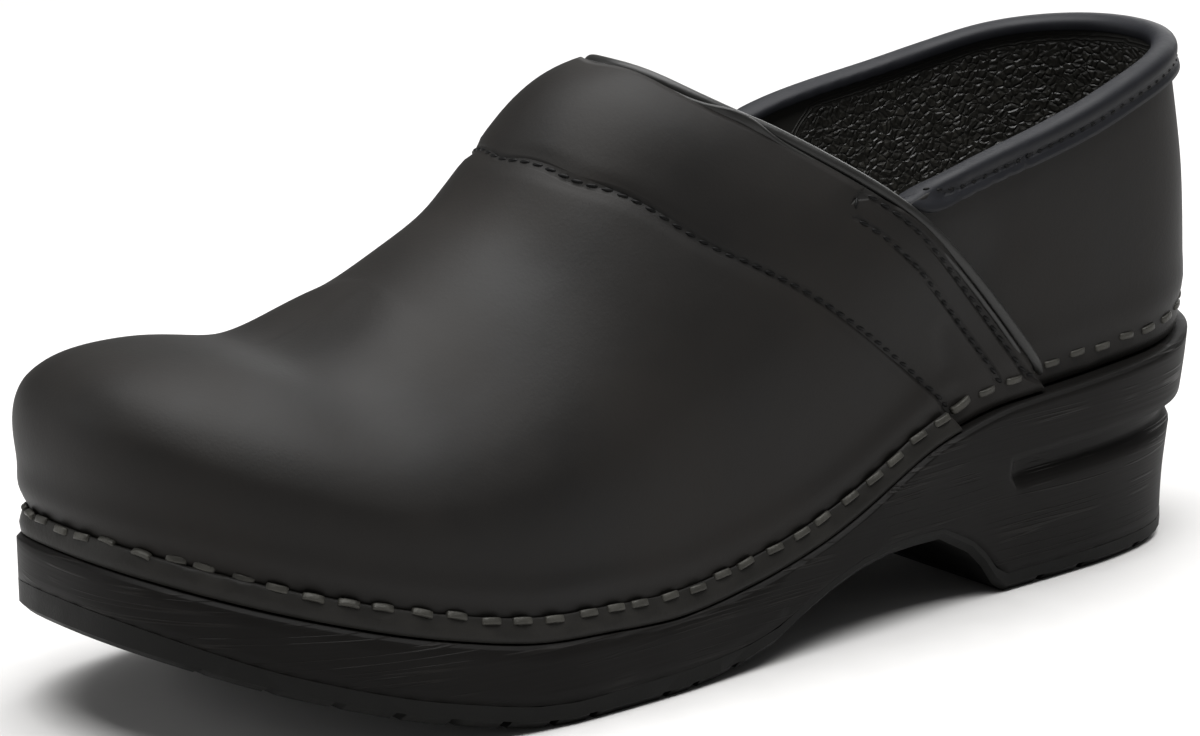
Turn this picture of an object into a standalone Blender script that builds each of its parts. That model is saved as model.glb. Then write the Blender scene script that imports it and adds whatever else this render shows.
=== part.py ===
"""Chef clog: a closed-back slip-on whose leather upper is stapled round the ledge of a heeled platform sole.

Metres, +Z up. While it is modelled, x runs from the back of the heel to the toe, +y is the outer side of
a left shoe and z = 0 is the floor. At the end the whole clog is centred over the origin.
"""

import math
from collections import namedtuple

import bmesh
import bpy
import numpy as np

MM = 0.001

# Driving sizes of the sole
SOLE_LENGTH = 262.0 * MM
BALL_WIDTH = 98.7 * MM
HEEL_HEIGHT = 40.0 * MM
PLATFORM_HEIGHT = 14.6 * MM
TOE_SPRING = 21.0 * MM
ARCH_HEIGHT = 15.2 * MM
TREAD_THICKNESS = 3.6 * MM
HEEL_TAPER = 8.0 * MM
HEEL_GROOVE = 2.6 * MM
LEDGE_ROUNDING = 0.8 * MM
EDGE_BEVEL = 1.5 * MM
EDGE_LAND = 0.4 * MM
GROOVE_WIDTH = 2.0 * MM
GROOVE_DEPTH = 1.6 * MM
PLATEAU_RISE = 7.0 * MM
PLATEAU_ROUNDING = 1.2 * MM
INSOLE_THICKNESS = 3.4 * MM
INSOLE_ROUNDING = 0.8 * MM

# Driving sizes of the upper
INSTEP_HEIGHT = 121.5 * MM
COLLAR_HEIGHT = 103.6 * MM
LEATHER_INSET = 3.0 * MM
WALL = 2.0 * MM
SIDE_BULGE = 3.0 * MM
TOE_BULGE = 4.0 * MM
EDGE_LIFT = 1.0 * MM
QUARTER_DROP = 1.9 * MM
BAND_PUFF = 1.3 * MM
SEAM_VALLEY = 0.7 * MM
PIPING_RADIUS = 1.1 * MM
PIPING_PLAY = 0.6 * MM
PIPING_DROP = 1.0 * MM
BINDING_DEPTH = 5.4 * MM
BINDING_INSIDE = 1.6 * MM
BINDING_RISE = 1.6 * MM
BINDING_THICKNESS = 0.9 * MM
BINDING_PLAY = 0.6 * MM
RAND_HEIGHT = 4.8 * MM
RAND_FOOT = 0.4 * MM
RAND_THICKNESS = 1.8 * MM

# Clearances between neighbours, which touch on the real clog
GAP = 0.3 * MM
LEDGE_PLAY = 0.5 * MM

# Places along the sole, as shares of its length
HEEL_GROOVE_END = 0.242
HEEL_FRONT = 0.25
BREAST = (0.2625, 0.275, 0.29)
BALL_BACK, BALL_FRONT = 0.60, 0.70
HEEL_POLE, TOE_POLE = 0.164, 0.739
HEEL_ROUNDNESS, TOE_ROUNDNESS = 2.2, 2.45
HEEL_GROOVES = (0.055, 0.100, 0.170, 0.215)
FOREFOOT_GROOVES = (0.545, 0.585, 0.615, 0.685, 0.72, 0.76, 0.80, 0.84, 0.88, 0.92, 0.955)

# Half widths and the curve of the centre line, in ball widths
Plan = namedtuple("Plan", "along centre half_width")
PLAN = (
    Plan(0.00, 0.006, 0.316),
    Plan(0.10, -0.010, 0.320),
    Plan(0.22, -0.008, 0.346),
    Plan(0.34, 0.010, 0.365),
    Plan(0.44, 0.020, 0.387),
    Plan(0.54, 0.013, 0.430),
    Plan(0.64, 0.002, 0.478),
    Plan(0.72, -0.007, 0.500),
    Plan(0.80, -0.022, 0.498),
    Plan(0.90, -0.050, 0.489),
    Plan(1.00, -0.081, 0.478),
)

# arch: shares of the arch height. spring: of the toe spring. tread: of the tread thickness.
# platform: of the platform height. lift: of what the heel stands above the platform.
Rise = namedtuple("Rise", "along arch spring tread platform lift")
RISE = (
    Rise(0.000, 0.30, 0.00, 0.90, 1.00, 1.190),
    Rise(0.055, 0.00, 0.00, 1.00, 1.00, 1.060),
    Rise(0.150, 0.00, 0.00, 1.00, 1.00, 1.000),
    Rise(0.250, 0.00, 0.00, 1.00, 1.00, 0.940),
    Rise(0.285, 0.62, 0.00, 0.75, 1.00, 0.880),
    Rise(0.330, 1.00, 0.00, 0.60, 1.00, 0.775),
    Rise(0.380, 0.99, 0.00, 0.60, 1.00, 0.540),
    Rise(0.440, 0.74, 0.00, 0.70, 1.00, 0.280),
    Rise(0.520, 0.16, 0.00, 0.95, 1.00, 0.086),
    Rise(0.600, 0.00, 0.00, 1.20, 1.00, 0.000),
    Rise(0.700, 0.00, 0.00, 1.15, 1.10, 0.000),
    Rise(0.800, 0.00, 0.20, 1.20, 1.10, 0.000),
    Rise(0.900, 0.00, 0.55, 1.25, 1.07, 0.000),
    Rise(1.000, 0.00, 1.00, 1.65, 1.00, 0.000),
)

# How far the foot of the sole's side stands in, and how deep the heel's groove is, along the sole
Heel = namedtuple("Heel", "along taper groove")
HEEL = (
    Heel(0.00, 1.00, 1.00),
    Heel(0.03, 0.72, 1.00),
    Heel(0.10, 0.44, 0.95),
    Heel(0.20, 0.32, 0.80),
    Heel(HEEL_GROOVE_END, 0.29, 0.70),
    Heel(HEEL_FRONT, 0.28, 0.00),
    Heel(0.34, 0.10, 0.00),
    Heel(0.45, 0.00, 0.00),
    Heel(1.00, 0.00, 0.00),
)

# The sole's side from its foot to the ledge: share of its height, of the groove and of the taper
Side = namedtuple("Side", "rise groove taper")
SIDE = (
    Side(0.00, 0.0, 1.00),
    Side(0.25, 0.0, 0.90),
    Side(0.49, 0.0, 0.66),
    Side(0.575, 1.0, 0.50),
    Side(0.655, 1.0, 0.32),
    Side(0.675, 0.0, 0.26),
    Side(0.85, 0.0, 0.08),
)

# Height of the last's ridge in instep heights, and how square its sides and its crown are
Ridge = namedtuple("Ridge", "along height side crown")
RIDGE = (
    Ridge(0.00, 1.800, 1.90, 2.0),
    Ridge(0.15, 1.630, 1.98, 2.0),
    Ridge(0.30, 1.360, 2.19, 2.0),
    Ridge(0.42, 1.060, 2.25, 2.0),
    Ridge(0.50, 0.960, 2.28, 2.0),
    Ridge(0.55, 0.925, 2.20, 2.0),
    Ridge(0.59, 0.889, 2.10, 2.0),
    Ridge(0.66, 0.754, 1.85, 2.1),
    Ridge(0.74, 0.640, 2.02, 2.2),
    Ridge(0.82, 0.578, 2.43, 2.3),
    Ridge(0.90, 0.630, 2.72, 2.4),
    Ridge(1.00, 0.755, 2.83, 2.4),
)

# Rear edge of the vamp and the seam ahead of it: share of the way up the section, places along the sole
Edge = namedtuple("Edge", "up rear seam")
EDGES = (
    Edge(0.00, 0.208, 0.296),
    Edge(0.12, 0.280, 0.360),
    Edge(0.30, 0.361, 0.440),
    Edge(0.50, 0.434, 0.537),
    Edge(0.75, 0.514, 0.610),
    Edge(1.00, 0.548, 0.632),
)

# Top of the quarter on the outer and the inner side of the foot, in collar heights
Collar = namedtuple("Collar", "along outer inner")
COLLAR = (
    Collar(0.00, 0.996, 0.996),
    Collar(0.08, 0.960, 0.977),
    Collar(0.20, 0.890, 0.926),
    Collar(0.30, 0.840, 0.890),
    Collar(0.40, 0.776, 0.826),
    Collar(0.50, 0.764, 0.812),
)

# Curve of the heel's back: share of the quarter's height, shares of the side bulge
Back = namedtuple("Back", "up out")
BACK = (
    Back(0.00, 0.35),
    Back(0.14, 0.92),
    Back(0.48, 0.76),
    Back(0.80, -0.02),
    Back(1.00, -0.55),
)

# Relief of the leather: angles up the section where bulges end and the puff starts and is full, and
# shares of the band for the seam's valley and the rise to the rear edge
BULGE_TOP, TOE_BULGE_TOP = 0.9, 1.2
PUFF_START, PUFF_FULL = 0.05, 0.4
VALLEY_TOP, VALLEY_WIDTH = 0.12, 0.35
LIFT_START, LIFT_FULL = 0.2, 0.9

# Where leather leaves the ledge or an end, its relief fades over these stretches along the sole
HEEL_BACK_FADE = 0.22
DROP_FADE = 0.14
STEP_FADE = 0.02

# Mesh density
RUNG_COUNT = 52
CLOSEST_RUNGS = 0.007
BAND_COLUMNS, VAMP_COLUMNS, QUARTER_COLUMNS = 4, 26, 14
SIDE_ROWS, CROWN_ROWS = 8, 9
PIPING_POINTS, BINDING_SECTIONS, RAND_SECTIONS = 27, 30, 34
SHARP_ANGLE = math.radians(38)
MERGE_DISTANCE = 0.02 * MM

# Share of the vamp's columns between its rear edge and the seam
BAND = BAND_COLUMNS / (BAND_COLUMNS + VAMP_COLUMNS)

# Small steps for measuring directions: round the sole, along it, up the leather and along a strip
TURN_STEP, ALONG_STEP, UP_STEP, SHARE_STEP = 0.02, 0.004, 0.01, 0.02


def read(rows, name, at):
    """A table's column at any place, on a monotone cubic between its rows."""
    x = np.array([row[0] for row in rows], float)
    y = np.array([getattr(row, name) for row in rows], float)
    step = np.diff(x)
    slope = np.diff(y) / step
    tangent = np.zeros_like(y)
    tangent[0], tangent[-1] = slope[0], slope[-1]
    same = slope[1:] * slope[:-1] > 0
    before = 2 * step[1:] + step[:-1]
    after = step[1:] + 2 * step[:-1]
    safe = np.where(same, slope[:-1], 1.0), np.where(same, slope[1:], 1.0)
    tangent[1:-1] = np.where(same, (before + after) / (before / safe[0] + after / safe[1]), 0.0)
    at = np.clip(np.asarray(at, float), x[0], x[-1])
    i = np.clip(np.searchsorted(x, at, side="right") - 1, 0, len(step) - 1)
    t = (at - x[i]) / step[i]
    h = step[i]
    return (
        (1 + 2 * t) * (1 - t) ** 2 * y[i]
        + t * (1 - t) ** 2 * h * tangent[i]
        + t**2 * (3 - 2 * t) * y[i + 1]
        + t**2 * (t - 1) * h * tangent[i + 1]
    )


def fade(value, start, end):
    """0 before start, 1 after end, smooth between."""
    t = np.clip((value - start) / (end - start), 0, 1)
    return t * t * (3 - 2 * t)


# Levels of the sole
def bottom_level(along):
    return read(RISE, "arch", along) * ARCH_HEIGHT + read(RISE, "spring", along) * TOE_SPRING


def tread_level(along):
    return bottom_level(along) + read(RISE, "tread", along) * TREAD_THICKNESS


def ledge_level(along):
    return (
        read(RISE, "platform", along) * PLATFORM_HEIGHT
        + read(RISE, "lift", along) * (HEEL_HEIGHT - PLATFORM_HEIGHT)
        + read(RISE, "spring", along) * TOE_SPRING
    )


def side_mark(along, side):
    """Point in plan on the sole's outline; side is +1 or -1."""
    toe = np.clip((along - TOE_POLE) / (1 - TOE_POLE), 0, 1)
    heel = np.clip((HEEL_POLE - along) / HEEL_POLE, 0, 1)
    toe_end = (1 - toe**TOE_ROUNDNESS) ** (1 / TOE_ROUNDNESS)
    heel_end = (1 - heel**HEEL_ROUNDNESS) ** (1 / HEEL_ROUNDNESS)
    across = read(PLAN, "centre", along) + side * read(PLAN, "half_width", along) * toe_end * heel_end
    return np.stack([along * SOLE_LENGTH, across * BALL_WIDTH], -1)


def turn_of(along, side):
    """Angle round the sole: 0 at the heel's back, pi at the toe, positive on the outer side."""
    return np.arccos(np.clip(1 - 2 * along, -1, 1)) * side


def at_turn(turn):
    return side_mark((1 - np.cos(turn)) / 2, np.where(np.sin(turn) >= 0, 1.0, -1.0))


def outward(turn):
    """Unit normal of the outline in plan."""
    run = at_turn(turn + TURN_STEP) - at_turn(turn - TURN_STEP)
    run /= np.linalg.norm(run, axis=-1, keepdims=True)
    return np.stack([-run[..., 1], run[..., 0]], -1)


def rung_places():
    """Places along the sole where its rings have points, with the corners of its flat spots among them."""
    even = (1 - np.cos(np.linspace(0, math.pi, RUNG_COUNT + 1))) / 2
    marks = np.array([HEEL_GROOVE_END, HEEL_FRONT, *BREAST, BALL_BACK, BALL_FRONT])
    far = np.abs(even[:, None] - marks).min(axis=1) > CLOSEST_RUNGS
    return np.union1d(even[far], marks)


def ring(level, inset):
    """Closed ring round the sole at a level, set in from the outline; both are read along the sole."""
    places = rung_places()
    along = np.concatenate([places, places[-2:0:-1]])
    side = np.concatenate([np.ones(len(places)), -np.ones(len(places) - 2)])
    turn = turn_of(along, side)
    plan = at_turn(turn) - outward(turn) * inset(along)[:, None]
    return np.column_stack([plan, level(along)])


def steady(value):
    return lambda along: np.full_like(along, value)


def new_object(name, bm, collection, material):
    mesh = bpy.data.meshes.new(name)
    bm.to_mesh(mesh)
    bm.free()
    obj = bpy.data.objects.new(name, mesh)
    collection.objects.link(obj)
    if material is not None:
        mesh.materials.append(material)
    mesh.shade_smooth()
    mesh.set_sharp_from_angle(angle=SHARP_ANGLE)
    return obj


def evaluated(obj):
    bpy.context.view_layer.update()
    return obj.evaluated_get(bpy.context.evaluated_depsgraph_get())


def skin_over(loops_of_points):
    """New mesh of quads between loops of equal count, and the loops' vertices."""
    bm = bmesh.new()
    loops = [[bm.verts.new(point) for point in points] for points in loops_of_points]
    for low, high in zip(loops, loops[1:]):
        for a, b, c, d in zip(low, low[1:] + low[:1], high[1:] + high[:1], high):
            bm.faces.new((a, b, c, d))
    return bm, loops


def ring_body(rings):
    """Solid between stacked rings of the sole, closed by rungs that join its two sides."""
    bm, loops = skin_over(rings)
    for loop in (loops[0], loops[-1]):
        for i in range(len(loop) // 2):
            corners = [loop[i], loop[i + 1], loop[-i - 1], loop[-i]]
            bm.faces.new(list(dict.fromkeys(corners)))
    bmesh.ops.recalc_face_normals(bm, faces=bm.faces)
    return bm


def strip_body(sections):
    """Solid swept through sections of equal count, with both ends closed."""
    bm, loops = skin_over(sections)
    bm.faces.new(loops[0])
    bm.faces.new(loops[-1])
    bmesh.ops.recalc_face_normals(bm, faces=bm.faces)
    return bm


def taper(along):
    return read(HEEL, "taper", along) * HEEL_TAPER


# The last: every piece of leather is laid on it
def last_point(along, side, up, off=0.0):
    """Point on the last's surface: up is 0 at the ledge and pi / 2 on the ridge, off is along the normal."""
    rim = side_mark(along, side)
    pole_along = np.clip(along, HEEL_POLE, TOE_POLE)
    pole = np.stack([pole_along * SOLE_LENGTH, read(PLAN, "centre", pole_along) * BALL_WIDTH], -1)
    reach = np.linalg.norm(rim - pole, axis=-1)
    away = (rim - pole) / reach[..., None]
    side_power = 2 / read(RIDGE, "side", along)
    crown_power = 2 / read(RIDGE, "crown", along)
    bulge = SIDE_BULGE * np.sin(math.pi * np.clip(up / BULGE_TOP, 0, 1)) ** 2
    toe_bulge = TOE_BULGE * fade(along, TOE_POLE, 1) * np.sin(math.pi * np.clip(up / TOE_BULGE_TOP, 0, 1))
    spread = (reach - LEATHER_INSET) * np.cos(up) ** side_power + bulge + toe_bulge + off * np.cos(up)
    plan = pole + away * spread[..., None]
    foot = ledge_level(along)
    top = read(RIDGE, "height", plan[..., 0] / SOLE_LENGTH) * INSTEP_HEIGHT
    height = foot + (top - foot) * np.sin(up) ** crown_power + off * np.sin(up)
    return np.concatenate([plan, height[..., None]], -1)


def up_at(along, height):
    """How far up the section a height is."""
    foot = ledge_level(along)
    top = read(RIDGE, "height", along) * INSTEP_HEIGHT
    share = np.clip((height - foot) / (top - foot), 0, 1)
    return np.arcsin(share ** (read(RIDGE, "crown", along) / 2))


def collar_level(along, side):
    height = np.where(side > 0, read(COLLAR, "outer", along), read(COLLAR, "inner", along))
    return height * COLLAR_HEIGHT


def rear_edge(up):
    return read(EDGES, "rear", up / (math.pi / 2))


def seam_line(up):
    return read(EDGES, "seam", up / (math.pi / 2))


def junction(side):
    """How far up the vamp's rear edge the top of the quarter meets it, on the side +1 or -1."""
    up = np.linspace(0.05, math.pi / 2, 600)
    along = rear_edge(up)
    above = last_point(along, np.full_like(up, side), up)[:, 2] - collar_level(along, side)
    return float(np.interp(0.0, above, up))


def row_angles(side):
    joint = junction(side)
    lower = np.linspace(0, joint, SIDE_ROWS + 1)
    upper = np.linspace(joint, math.pi / 2, CROWN_ROWS + 1)
    return np.concatenate([lower, upper[1:]])


def ease_to_toe(share):
    """Even steps at first, closing up round the toe."""
    return np.where(share < 0.5, share * 4 / 3, 1 - (1 - share) ** 2 * 4 / 3)


def vamp_point(share, side, up):
    """Point of the vamp: share 0 at its rear edge, BAND at the seam, 1 at the toe."""
    rear, seam = rear_edge(up), seam_line(up)
    ahead = np.clip((share - BAND) / (1 - BAND), 0, 1)
    along = np.where(
        share < BAND,
        rear + (seam - rear) * np.clip(share / BAND, 0, 1),
        seam + (1 - seam) * ease_to_toe(ahead),
    )
    in_band = np.clip(share / BAND, 0, 1)
    puff = BAND_PUFF * np.sin(math.pi * in_band) * fade(up, PUFF_START, PUFF_FULL)
    from_seam = (share - BAND) / (VALLEY_WIDTH * BAND)
    valley = SEAM_VALLEY * np.exp(-(from_seam**2)) * fade(up, 0.0, VALLEY_TOP)
    lift = EDGE_LIFT * fade(1 - in_band, LIFT_START, LIFT_FULL)
    return last_point(along, side, up, puff - valley + lift)


def start_of_row(row, side):
    """Where a row of the quarter starts at the vamp's rear edge, and how far up the quarter it is there."""
    up = row * np.where(side > 0, junction(1.0), junction(-1.0))
    start = rear_edge(up)
    edge = last_point(start, side, up)[..., 2]
    return start, (edge - ledge_level(start)) / (collar_level(start, side) - ledge_level(start))


def quarter_point(share, side, row, off=0.0):
    """Point of the quarter: share 0 at the vamp's rear edge, 1 at the heel's back, where the rows of both
    sides meet; row 0 at the ledge, 1 at the collar."""
    start, rise = start_of_row(row, side)
    _, rise_outer = start_of_row(row, np.ones_like(side))
    rise = rise + (rise_outer - rise) * share
    along = start * (1 - np.sin(share * math.pi / 2))
    height = ledge_level(along) + rise * (collar_level(along, side) - ledge_level(along))
    drop = QUARTER_DROP * fade(along, 0.0, DROP_FADE)
    point = last_point(along, side, up_at(along, height), off - drop)
    back = read(BACK, "out", rise) * SIDE_BULGE * fade(-along, -HEEL_BACK_FADE, 0.0)
    point[..., 0] -= back
    return point


def insets_of_leather(along):
    """How far in from the outline the upper's outer face stands on the ledge."""
    step = rear_edge(0.0) + 3 * WALL / SOLE_LENGTH
    drop = QUARTER_DROP * fade(along, 0.0, DROP_FADE) * (1 - fade(along, step, step + STEP_FADE))
    return LEATHER_INSET + drop


def make_outsole(collection, cutters, material):
    def foot(along):
        return taper(along) + EDGE_BEVEL

    def edge_level(along):
        return np.minimum(bottom_level(along) + EDGE_BEVEL, tread_level(along) - EDGE_LAND)

    rings = [ring(bottom_level, foot), ring(edge_level, taper), ring(tread_level, taper)]
    outsole = new_object("outsole", ring_body(rings), collection, material)
    for number, along in enumerate(HEEL_GROOVES + FOREFOOT_GROOVES):
        rise = float(bottom_level(along + ALONG_STEP) - bottom_level(along - ALONG_STEP))
        slope = rise / (2 * ALONG_STEP * SOLE_LENGTH)
        bm = bmesh.new()
        bmesh.ops.create_cube(bm, size=1.0)
        bmesh.ops.scale(bm, vec=(GROOVE_WIDTH, 2 * BALL_WIDTH, 2 * GROOVE_DEPTH), verts=bm.verts)
        cutter = new_object(f"tread_groove_{number + 1}", bm, cutters, None)
        cutter.location = (along * SOLE_LENGTH, 0, float(bottom_level(along)))
        cutter.rotation_euler = (0, -math.atan(slope), 0)
        cutter.hide_render = True
        cutter.display_type = "WIRE"
    cut = outsole.modifiers.new("tread_grooves", "BOOLEAN")
    cut.operand_type = "COLLECTION"
    cut.collection = cutters
    cut.solver = "EXACT"
    return outsole


def plateau_inset(along):
    return insets_of_leather(along) + WALL + 2 * GAP


def plateau_level(along):
    return ledge_level(along) + PLATEAU_RISE


def make_sole_frame(collection, material):
    def side_ring(row):
        def level(along):
            foot = tread_level(along) + GAP
            return foot + (ledge_level(along) - foot) * row.rise

        def inset(along):
            return taper(along) * row.taper + read(HEEL, "groove", along) * HEEL_GROOVE * row.groove

        return ring(level, inset)

    rings = [side_ring(row) for row in SIDE]
    rings.append(ring(lambda along: ledge_level(along) - LEDGE_ROUNDING, steady(0.0)))
    rings.append(ring(ledge_level, steady(LEDGE_ROUNDING)))
    rings.append(ring(ledge_level, plateau_inset))
    rings.append(ring(lambda along: plateau_level(along) - PLATEAU_ROUNDING, plateau_inset))
    rings.append(ring(plateau_level, lambda along: plateau_inset(along) + PLATEAU_ROUNDING))
    return new_object("sole_frame", ring_body(rings), collection, material)


def make_insole(collection, material):
    def under(along):
        return plateau_inset(along) + PLATEAU_ROUNDING + GAP

    def level(rise):
        return lambda along: plateau_level(along) + GAP + rise

    rings = [
        ring(level(0.0), under),
        ring(level(INSOLE_THICKNESS - INSOLE_ROUNDING), under),
        ring(level(INSOLE_THICKNESS), lambda along: under(along) + INSOLE_ROUNDING),
    ]
    return new_object("insole", ring_body(rings), collection, material)


def make_upper(collection, material):
    """Vamp and quarter as one open surface with a step at the vamp's rear edge, thickened inwards and
    trimmed to the ledge that it stands on."""
    bm = bmesh.new()
    shares = np.linspace(0, 1, BAND_COLUMNS + VAMP_COLUMNS + 1)
    stand = np.array([0, 0, LEDGE_PLAY])

    def sheet(columns):
        verts = [[bm.verts.new(point + stand) for point in column] for column in columns]
        for left, right in zip(verts, verts[1:]):
            for i in range(len(left) - 1):
                bm.faces.new((left[i], left[i + 1], right[i + 1], right[i]))

    def vamp_column(share, side):
        angles = row_angles(side)
        return vamp_point(np.full_like(angles, share), np.full_like(angles, side), angles)

    columns = [vamp_column(share, 1.0) for share in shares]
    columns += [vamp_column(share, -1.0) for share in shares[-2::-1]]
    sheet(columns)

    rows = np.linspace(0, 1, SIDE_ROWS + 1)
    for side in (1.0, -1.0):
        edge = vamp_column(0.0, side)[: SIDE_ROWS + 1]
        columns = [edge]
        for share in np.linspace(0, 1, QUARTER_COLUMNS + 1):
            columns.append(quarter_point(np.full_like(rows, share), np.full_like(rows, side), rows))
        sheet(columns)
    bmesh.ops.remove_doubles(bm, verts=bm.verts, dist=MERGE_DISTANCE)
    bmesh.ops.recalc_face_normals(bm, faces=bm.faces)
    crown = max(bm.faces, key=lambda face: face.calc_center_median().z)
    if crown.normal.z < 0:
        bmesh.ops.reverse_faces(bm, faces=bm.faces)
    sheet_object = new_object("upper_outer_face", bm, collection, material)
    wall = sheet_object.modifiers.new("wall", "SOLIDIFY")
    wall.thickness = WALL
    wall.offset = -1
    wall.use_even_offset = True
    wall.use_quality_normals = True
    mesh = bpy.data.meshes.new_from_object(evaluated(sheet_object))
    bpy.data.objects.remove(sheet_object)
    mesh.name = "upper"
    for vertex in mesh.vertices:
        floor = float(ledge_level(vertex.co.x / SOLE_LENGTH)) + LEDGE_PLAY
        vertex.co.z = max(vertex.co.z, floor)
    upper = bpy.data.objects.new("upper", mesh)
    collection.objects.link(upper)
    return upper


def make_piping(collection, material):
    """Bead along the vamp's whole rear edge, from ledge to ledge over the instep."""
    half = np.linspace(3 * UP_STEP, math.pi / 2, PIPING_POINTS)
    points = []
    for side, ups in ((1.0, half), (-1.0, half[-2::-1])):
        for up in ups:
            spot = vamp_point(np.array(0.0), np.array(side), np.array(up))
            ahead = vamp_point(np.array(0.03), np.array(side), np.array(up))
            above = vamp_point(np.array(0.0), np.array(side), np.array(min(up + UP_STEP, math.pi / 2)))
            below = vamp_point(np.array(0.0), np.array(side), np.array(up - UP_STEP))
            run = (above - below) / np.linalg.norm(above - below)
            fore = ahead - spot
            fore -= run * (fore @ run)
            fore /= np.linalg.norm(fore)
            normal = np.cross(run, fore) * side
            normal /= np.linalg.norm(normal)
            points.append(spot - fore * (PIPING_RADIUS + PIPING_PLAY) - normal * PIPING_DROP)
    curve = bpy.data.curves.new("vamp_piping", "CURVE")
    curve.dimensions = "3D"
    curve.bevel_depth = PIPING_RADIUS
    curve.bevel_resolution = 1
    curve.use_fill_caps = True
    spline = curve.splines.new("POLY")
    spline.points.add(len(points) - 1)
    for knot, point in zip(spline.points, points):
        knot.co = (*point, 1)
    curve.materials.append(material)
    piping = bpy.data.objects.new("vamp_piping", curve)
    collection.objects.link(piping)
    return piping


# Bulge of the binding's sides, in its thicknesses beyond the wall: at its lower edge, a third of the way
# down and at its shoulder
BINDING_FOOT, BINDING_BELLY, BINDING_SHOULDER = 1.0, 1.15, 0.75
BELLY_DOWN, SHOULDER_UP = 0.3, 0.6
BINDING_START = 0.045
BELOW_COLLAR = 0.93


def binding_side(depth):
    """One side of the binding's section from its lower edge to its shoulder: out from the wall, up."""
    return [
        (BINDING_PLAY + BINDING_THICKNESS * BINDING_FOOT, -depth),
        (BINDING_PLAY + BINDING_THICKNESS * BINDING_BELLY, -depth * BELLY_DOWN),
        (BINDING_PLAY + BINDING_THICKNESS * BINDING_SHOULDER, BINDING_RISE * SHOULDER_UP),
    ]


def make_binding(collection, material):
    """Rolled strip that wraps the quarter's top edge from one end of the vamp to the other."""
    inner = [(-WALL - out, up) for out, up in reversed(binding_side(BINDING_INSIDE))]
    lining, face = -WALL - BINDING_PLAY, BINDING_PLAY
    slot = [(lining, -BINDING_INSIDE), (lining, BINDING_PLAY), (face, BINDING_PLAY), (face, -BINDING_DEPTH)]
    section = binding_side(BINDING_DEPTH) + [(-WALL / 2, BINDING_RISE)] + inner + slot
    shares = np.linspace(BINDING_START, 1, BINDING_SECTIONS)
    sections = []
    for side, run in ((1.0, shares), (-1.0, shares[-2::-1])):
        for share in run:
            top = quarter_point(np.array(share), np.array(side), np.array(1.0))
            low = quarter_point(np.array(share), np.array(side), np.array(BELOW_COLLAR))
            rise = (top - low) / np.linalg.norm(top - low)
            step = min(share + SHARE_STEP, 1.0)
            after = quarter_point(np.array(step), np.array(side), np.array(1.0))
            before = quarter_point(np.array(share - SHARE_STEP), np.array(side), np.array(1.0))
            along = (after - before) / np.linalg.norm(after - before)
            if share == 1.0:
                along = np.array([0.0, -side, 0.0])
            out = np.cross(along, rise) * side
            out /= np.linalg.norm(out)
            sections.append([top + np.array([0, 0, LEDGE_PLAY]) + out * a + rise * b for a, b in section])
    return new_object("collar_binding", strip_body(sections), collection, material)


# Section of the rand: how far up it, and outward in its thicknesses
RAND_SECTION = ((0, 0), (1.0, 0), (1.0, 0.7), (0.88, 1.0), (0, 1.0))


def make_rand(collection, material):
    """Flat strip that the staples go through, round the front from one end of the seam to the other."""
    shares = np.linspace(BAND + ALONG_STEP, 1, RAND_SECTIONS)
    sections = []
    for side, run in ((1.0, shares), (-1.0, shares[-2::-1])):
        for share in run:
            foot = vamp_point(np.array(share), np.array(side), np.array(0.0))
            along = foot[0] / SOLE_LENGTH
            ledge = ledge_level(np.array(along))
            pole = np.clip(along, HEEL_POLE, TOE_POLE)
            centre = np.array([pole * SOLE_LENGTH, read(PLAN, "centre", pole) * BALL_WIDTH, 0])
            section = []
            for up_strip, off in RAND_SECTION:
                height = RAND_FOOT + (RAND_HEIGHT - RAND_FOOT) * up_strip
                up = float(up_at(np.array(along), ledge + height))
                skin = vamp_point(np.array(share), np.array(side), np.array(up))
                away = skin * [1, 1, 0] - centre
                away /= np.linalg.norm(away)
                section.append(skin + away * (GAP + off * RAND_THICKNESS) + np.array([0, 0, GAP]))
            sections.append(section)
    return new_object("front_rand", strip_body(sections), collection, material)


def leather(name, colour, roughness):
    material = bpy.data.materials.new(name)
    material.use_nodes = True
    shader = material.node_tree.nodes["Principled BSDF"]
    shader.inputs["Base Color"].default_value = (*colour, 1)
    shader.inputs["Roughness"].default_value = roughness
    shader.inputs["Metallic"].default_value = 0.0
    return material


def new_collection(name):
    collection = bpy.data.collections.new(name)
    bpy.context.scene.collection.children.link(collection)
    return collection


def centre_over_origin(pieces):
    """Hangs the pieces from one empty, which puts the middle of the clog's box over the origin."""
    bpy.context.view_layer.update()
    graph = bpy.context.evaluated_depsgraph_get()
    corners = []
    for piece in pieces:
        mesh = piece.evaluated_get(graph).to_mesh()
        corners += [piece.matrix_world @ vertex.co for vertex in mesh.vertices]
        piece.evaluated_get(graph).to_mesh_clear()
    corners = np.array([tuple(corner) for corner in corners])
    middle = (corners.min(axis=0) + corners.max(axis=0)) / 2
    holder = bpy.data.objects.new("chef_clog", None)
    pieces[0].users_collection[0].objects.link(holder)
    holder.location = (-middle[0], -middle[1], 0)
    return holder


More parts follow.
